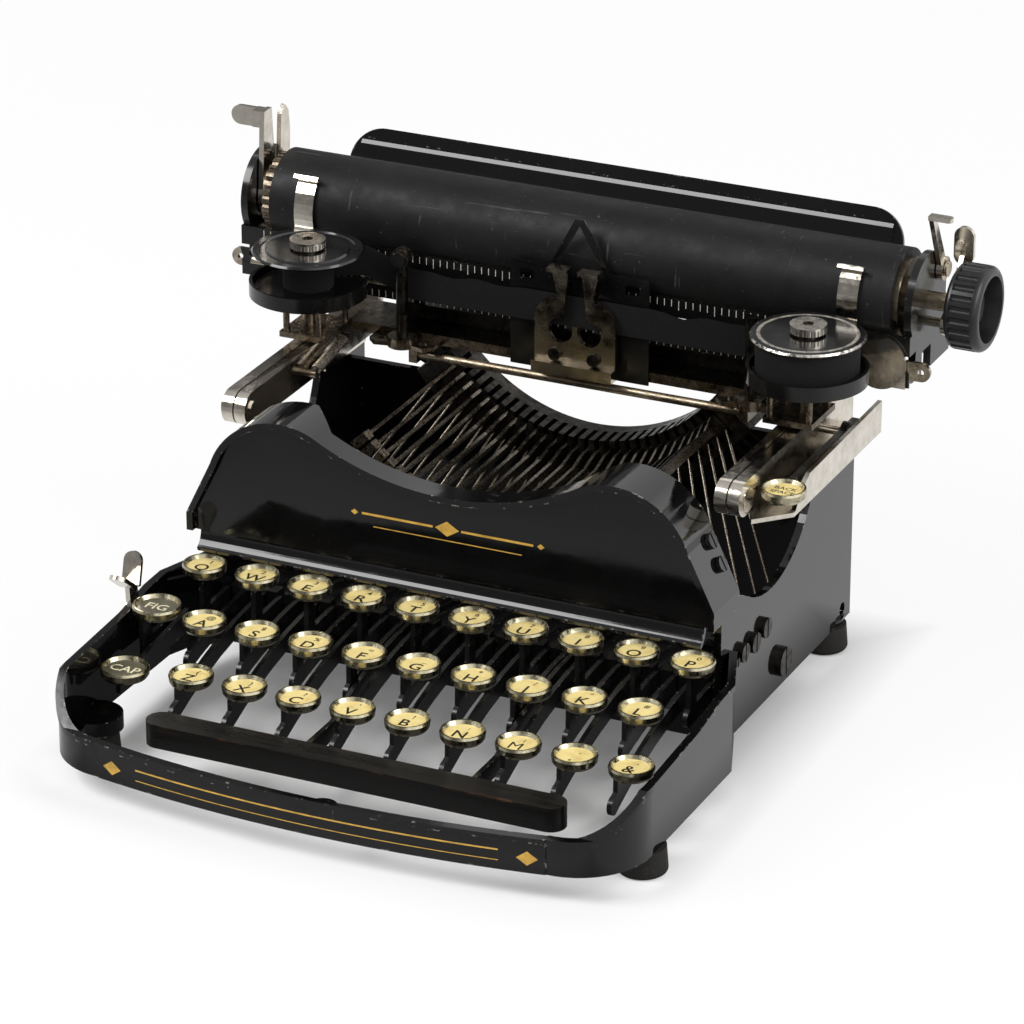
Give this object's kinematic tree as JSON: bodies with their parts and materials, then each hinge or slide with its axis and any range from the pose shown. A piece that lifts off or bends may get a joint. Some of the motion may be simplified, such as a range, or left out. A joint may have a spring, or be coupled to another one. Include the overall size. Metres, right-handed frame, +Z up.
{
  "type": "folding typewriter",
  "caption": "Portable manual typewriter whose carriage folds forward over a round-key keyboard, with typebar basket, ribbon spools, shifting carriage, platen and paper table",
  "frame": {"origin": "centre of the footprint at table level, under the middle of the machine", "axes": "+X to the typist's right, +Y to the back, +Z up"},
  "size_m": [0.2726, 0.2452, 0.1555],
  "materials": {
    "black_enamel": "gloss black baked enamel, chipped at the edges",
    "nickel": "aged nickel plate",
    "dark_steel": "blued and oiled steel",
    "type_steel": "worn bright steel",
    "foot_rubber": "black rubber",
    "platen_rubber": "hard dark grey rubber",
    "black_plastic": "moulded black composition",
    "letter_key": "cream disc under glass in a nickel ring on a black steel lever",
    "shift_key": "dark disc under glass in a nickel ring on a black steel lever",
    "dark_wood": "ebonised wood",
    "ribbon_cloth": "inked cotton"
  },
  "bodies": {
    "frame": {"base_frame": "black_enamel", "front_cowl": "black_enamel", "rubber_feet": "foot_rubber", "frame_screws": "dark_steel", "lever_guides": "dark_steel", "type_segment": "dark_steel", "typebars": "type_steel", "hinge_brackets": "nickel"},
    "bed": {"carriage_bed": "nickel", "spool_cups": "black_enamel", "ribbon": "ribbon_cloth", "type_guide": "nickel", "card_guide": "black_enamel", "arm_spring": "type_steel"},
    "shift": {"shift_frame": "dark_steel"},
    "carriage": {"carriage_frame": "black_enamel", "paper_table": "black_enamel"},
    "platen_roll": {"platen": "platen_rubber", "platen_knob": "black_plastic"},
    "left_spool": {"left_spool": "black_enamel"},
    "right_spool": {"right_spool": "black_enamel"},
    "drum": {"mainspring_drum": "dark_steel"},
    "line_lever": {"line_space_lever": "nickel"},
    "release_lever": {"paper_release_lever": "nickel"},
    "free_lever": {"carriage_release_lever": "nickel"},
    "left_finger": {"left_paper_finger": "nickel"},
    "right_finger": {"right_paper_finger": "nickel"},
    "fig": {"key_fig": "shift_key"},
    "cap": {"key_cap": "shift_key"},
    "space": {"space_bar": "dark_wood"},
    "back_space": {"back_space_key": "letter_key"},
    "lock": {"shift_lock_lever": "nickel"},
    "key_q_lever": {"key_q": "letter_key"},
    "key_a_lever": {"key_a": "letter_key"},
    "key_z_lever": {"key_z": "letter_key"},
    "key_w_lever": {"key_w": "letter_key"},
    "key_s_lever": {"key_s": "letter_key"},
    "key_x_lever": {"key_x": "letter_key"},
    "key_e_lever": {"key_e": "letter_key"},
    "key_d_lever": {"key_d": "letter_key"},
    "key_c_lever": {"key_c": "letter_key"},
    "key_r_lever": {"key_r": "letter_key"},
    "key_f_lever": {"key_f": "letter_key"},
    "key_v_lever": {"key_v": "letter_key"},
    "key_t_lever": {"key_t": "letter_key"},
    "key_g_lever": {"key_g": "letter_key"},
    "key_b_lever": {"key_b": "letter_key"},
    "key_y_lever": {"key_y": "letter_key"},
    "key_h_lever": {"key_h": "letter_key"},
    "key_n_lever": {"key_n": "letter_key"},
    "key_u_lever": {"key_u": "letter_key"},
    "key_j_lever": {"key_j": "letter_key"},
    "key_m_lever": {"key_m": "letter_key"},
    "key_i_lever": {"key_i": "letter_key"},
    "key_k_lever": {"key_k": "letter_key"},
    "key_period_lever": {"key_period": "letter_key"},
    "key_o_lever": {"key_o": "letter_key"},
    "key_l_lever": {"key_l": "letter_key"},
    "key_ampersand_lever": {"key_ampersand": "letter_key"},
    "key_p_lever": {"key_p": "letter_key"}
  },
  "joints": [
    {"name": "carriage_fold", "type": "hinge", "parent": "frame", "child": "bed", "pos_m": [0, 0.0011, 0.0877], "axis": [1, 0, 0], "range_deg": [0, 172]},
    {"name": "carriage_travel", "type": "slide", "parent": "shift", "child": "carriage", "axis": [1, 0, 0], "range_m": [-0.084, 0.098]},
    {"name": "carriage_shift", "type": "slide", "parent": "bed", "child": "shift", "axis": [0, 0, 1], "range_m": [0, 0.013]},
    {"name": "platen_turn", "type": "hinge", "parent": "carriage", "child": "platen_roll", "pos_m": [-0.005, 0.0945, 0.125], "axis": [1, 0, 0], "continuous": true},
    {"name": "line_space", "type": "hinge", "parent": "carriage", "child": "line_lever", "pos_m": [-0.122, 0.0945, 0.125], "axis": [-1, 0, 0], "range_deg": [0, 25], "stiffness_Nm_per_rad": 0.15, "springref_deg": -20.05},
    {"name": "fig_press", "type": "hinge", "parent": "frame", "child": "fig", "pos_m": [-0.0946, -0.031, 0.024], "axis": [1, 0, 0], "range_deg": [0, 15]},
    {"name": "cap_press", "type": "hinge", "parent": "frame", "child": "cap", "pos_m": [-0.0912, -0.031, 0.024], "axis": [1, 0, 0], "range_deg": [0, 7.6], "stiffness_Nm_per_rad": 0.3, "springref_deg": -8.59},
    {"name": "shift_lock", "type": "hinge", "parent": "frame", "child": "lock", "pos_m": [-0.103, -0.046, 0.032], "axis": [1, 0, 0], "range_deg": [0, 25]},
    {"name": "space_press", "type": "hinge", "parent": "frame", "child": "space", "pos_m": [0, 0.033, 0.018], "axis": [1, 0, 0], "range_deg": [0, 4], "stiffness_Nm_per_rad": 0.6, "springref_deg": -11.46},
    {"name": "back_space_press", "type": "hinge", "parent": "frame", "child": "back_space", "pos_m": [0.0966, 0.072, 0.084], "axis": [1, 0, 0], "range_deg": [0, 3.5], "stiffness_Nm_per_rad": 0.3, "springref_deg": -8.59},
    {"name": "paper_release", "type": "hinge", "parent": "carriage", "child": "release_lever", "pos_m": [0.1163, 0.1035, 0.133], "axis": [1, 0, 0], "range_deg": [0, 30]},
    {"name": "carriage_release", "type": "hinge", "parent": "carriage", "child": "free_lever", "pos_m": [0.12, 0.0985, 0.116], "axis": [1, 0, 0], "range_deg": [0, 12], "stiffness_Nm_per_rad": 0.2, "springref_deg": -11.46},
    {"name": "left_finger_slide", "type": "slide", "parent": "carriage", "child": "left_finger", "axis": [1, 0, 0], "range_m": [-0.008, 0.04]},
    {"name": "right_finger_slide", "type": "slide", "parent": "carriage", "child": "right_finger", "axis": [1, 0, 0], "range_m": [-0.04, 0.008]},
    {"name": "right_spool_turn", "type": "hinge", "parent": "bed", "child": "right_spool", "pos_m": [0.0892, 0.055, 0.11], "axis": [0, 0, 1], "continuous": true},
    {"name": "left_spool_turn", "type": "hinge", "parent": "bed", "child": "left_spool", "pos_m": [-0.0892, 0.055, 0.11], "axis": [0, 0, 1], "continuous": true},
    {"name": "drum_turn", "type": "hinge", "parent": "bed", "child": "drum", "pos_m": [-0.064, 0.105, 0.08], "axis": [0, 1, 0], "range_deg": [-600, 600]},
    {"name": "key_q_press", "type": "hinge", "parent": "frame", "child": "key_q_lever", "pos_m": [-0.08472, 0.033, 0.018], "axis": [1, 0, 0], "range_deg": [0, 4], "stiffness_Nm_per_rad": 0.3, "springref_deg": -8.59},
    {"name": "key_a_press", "type": "hinge", "parent": "frame", "child": "key_a_lever", "pos_m": [-0.07838, 0.033, 0.018], "axis": [1, 0, 0], "range_deg": [0, 4], "stiffness_Nm_per_rad": 0.3, "springref_deg": -8.59},
    {"name": "key_z_press", "type": "hinge", "parent": "frame", "child": "key_z_lever", "pos_m": [-0.07203, 0.033, 0.018], "axis": [1, 0, 0], "range_deg": [0, 4], "stiffness_Nm_per_rad": 0.3, "springref_deg": -8.59},
    {"name": "key_w_press", "type": "hinge", "parent": "frame", "child": "key_w_lever", "pos_m": [-0.06567, 0.033, 0.018], "axis": [1, 0, 0], "range_deg": [0, 4], "stiffness_Nm_per_rad": 0.3, "springref_deg": -8.59},
    {"name": "key_s_press", "type": "hinge", "parent": "frame", "child": "key_s_lever", "pos_m": [-0.05933, 0.033, 0.018], "axis": [1, 0, 0], "range_deg": [0, 4], "stiffness_Nm_per_rad": 0.3, "springref_deg": -8.59},
    {"name": "key_x_press", "type": "hinge", "parent": "frame", "child": "key_x_lever", "pos_m": [-0.05298, 0.033, 0.018], "axis": [1, 0, 0], "range_deg": [0, 4], "stiffness_Nm_per_rad": 0.3, "springref_deg": -8.59},
    {"name": "key_e_press", "type": "hinge", "parent": "frame", "child": "key_e_lever", "pos_m": [-0.04662, 0.033, 0.018], "axis": [1, 0, 0], "range_deg": [0, 4], "stiffness_Nm_per_rad": 0.3, "springref_deg": -8.59},
    {"name": "key_d_press", "type": "hinge", "parent": "frame", "child": "key_d_lever", "pos_m": [-0.04027, 0.033, 0.018], "axis": [1, 0, 0], "range_deg": [0, 4], "stiffness_Nm_per_rad": 0.3, "springref_deg": -8.59},
    {"name": "key_c_press", "type": "hinge", "parent": "frame", "child": "key_c_lever", "pos_m": [-0.03392, 0.033, 0.018], "axis": [1, 0, 0], "range_deg": [0, 4], "stiffness_Nm_per_rad": 0.3, "springref_deg": -8.59},
    {"name": "key_r_press", "type": "hinge", "parent": "frame", "child": "key_r_lever", "pos_m": [-0.02757, 0.033, 0.018], "axis": [1, 0, 0], "range_deg": [0, 4], "stiffness_Nm_per_rad": 0.3, "springref_deg": -8.59},
    {"name": "key_f_press", "type": "hinge", "parent": "frame", "child": "key_f_lever", "pos_m": [-0.02123, 0.033, 0.018], "axis": [1, 0, 0], "range_deg": [0, 4], "stiffness_Nm_per_rad": 0.3, "springref_deg": -8.59},
    {"name": "key_v_press", "type": "hinge", "parent": "frame", "child": "key_v_lever", "pos_m": [-0.01487, 0.033, 0.018], "axis": [1, 0, 0], "range_deg": [0, 4], "stiffness_Nm_per_rad": 0.3, "springref_deg": -8.59},
    {"name": "key_t_press", "type": "hinge", "parent": "frame", "child": "key_t_lever", "pos_m": [-0.00852, 0.033, 0.018], "axis": [1, 0, 0], "range_deg": [0, 4], "stiffness_Nm_per_rad": 0.3, "springref_deg": -8.59},
    {"name": "key_g_press", "type": "hinge", "parent": "frame", "child": "key_g_lever", "pos_m": [-0.00217, 0.033, 0.018], "axis": [1, 0, 0], "range_deg": [0, 4], "stiffness_Nm_per_rad": 0.3, "springref_deg": -8.59},
    {"name": "key_b_press", "type": "hinge", "parent": "frame", "child": "key_b_lever", "pos_m": [0.00417, 0.033, 0.018], "axis": [1, 0, 0], "range_deg": [0, 4], "stiffness_Nm_per_rad": 0.3, "springref_deg": -8.59},
    {"name": "key_y_press", "type": "hinge", "parent": "frame", "child": "key_y_lever", "pos_m": [0.01052, 0.033, 0.018], "axis": [1, 0, 0], "range_deg": [0, 4], "stiffness_Nm_per_rad": 0.3, "springref_deg": -8.59},
    {"name": "key_h_press", "type": "hinge", "parent": "frame", "child": "key_h_lever", "pos_m": [0.01688, 0.033, 0.018], "axis": [1, 0, 0], "range_deg": [0, 4], "stiffness_Nm_per_rad": 0.3, "springref_deg": -8.59},
    {"name": "key_n_press", "type": "hinge", "parent": "frame", "child": "key_n_lever", "pos_m": [0.02322, 0.033, 0.018], "axis": [1, 0, 0], "range_deg": [0, 4], "stiffness_Nm_per_rad": 0.3, "springref_deg": -8.59},
    {"name": "key_u_press", "type": "hinge", "parent": "frame", "child": "key_u_lever", "pos_m": [0.02958, 0.033, 0.018], "axis": [1, 0, 0], "range_deg": [0, 4], "stiffness_Nm_per_rad": 0.3, "springref_deg": -8.59},
    {"name": "key_j_press", "type": "hinge", "parent": "frame", "child": "key_j_lever", "pos_m": [0.03592, 0.033, 0.018], "axis": [1, 0, 0], "range_deg": [0, 4], "stiffness_Nm_per_rad": 0.3, "springref_deg": -8.59},
    {"name": "key_m_press", "type": "hinge", "parent": "frame", "child": "key_m_lever", "pos_m": [0.04228, 0.033, 0.018], "axis": [1, 0, 0], "range_deg": [0, 4], "stiffness_Nm_per_rad": 0.3, "springref_deg": -8.59},
    {"name": "key_i_press", "type": "hinge", "parent": "frame", "child": "key_i_lever", "pos_m": [0.04863, 0.033, 0.018], "axis": [1, 0, 0], "range_deg": [0, 4], "stiffness_Nm_per_rad": 0.3, "springref_deg": -8.59},
    {"name": "key_k_press", "type": "hinge", "parent": "frame", "child": "key_k_lever", "pos_m": [0.05498, 0.033, 0.018], "axis": [1, 0, 0], "range_deg": [0, 4], "stiffness_Nm_per_rad": 0.3, "springref_deg": -8.59},
    {"name": "key_period_press", "type": "hinge", "parent": "frame", "child": "key_period_lever", "pos_m": [0.06132, 0.033, 0.018], "axis": [1, 0, 0], "range_deg": [0, 4], "stiffness_Nm_per_rad": 0.3, "springref_deg": -8.59},
    {"name": "key_o_press", "type": "hinge", "parent": "frame", "child": "key_o_lever", "pos_m": [0.06767, 0.033, 0.018], "axis": [1, 0, 0], "range_deg": [0, 4], "stiffness_Nm_per_rad": 0.3, "springref_deg": -8.59},
    {"name": "key_l_press", "type": "hinge", "parent": "frame", "child": "key_l_lever", "pos_m": [0.07402, 0.033, 0.018], "axis": [1, 0, 0], "range_deg": [0, 4], "stiffness_Nm_per_rad": 0.3, "springref_deg": -8.59},
    {"name": "key_ampersand_press", "type": "hinge", "parent": "frame", "child": "key_ampersand_lever", "pos_m": [0.08038, 0.033, 0.018], "axis": [1, 0, 0], "range_deg": [0, 4], "stiffness_Nm_per_rad": 0.3, "springref_deg": -8.59},
    {"name": "key_p_press", "type": "hinge", "parent": "frame", "child": "key_p_lever", "pos_m": [0.08672, 0.033, 0.018], "axis": [1, 0, 0], "range_deg": [0, 4], "stiffness_Nm_per_rad": 0.3, "springref_deg": -8.59}
  ],
  "couplings": [
    {"joint": "fig_press", "follows": "carriage_shift", "rad_per_m": 19.5},
    {"joint": "left_spool_turn", "follows": "right_spool_turn", "ratio": 1},
    {"joint": "drum_turn", "follows": "carriage_travel", "rad_per_m": 100}
  ]
}
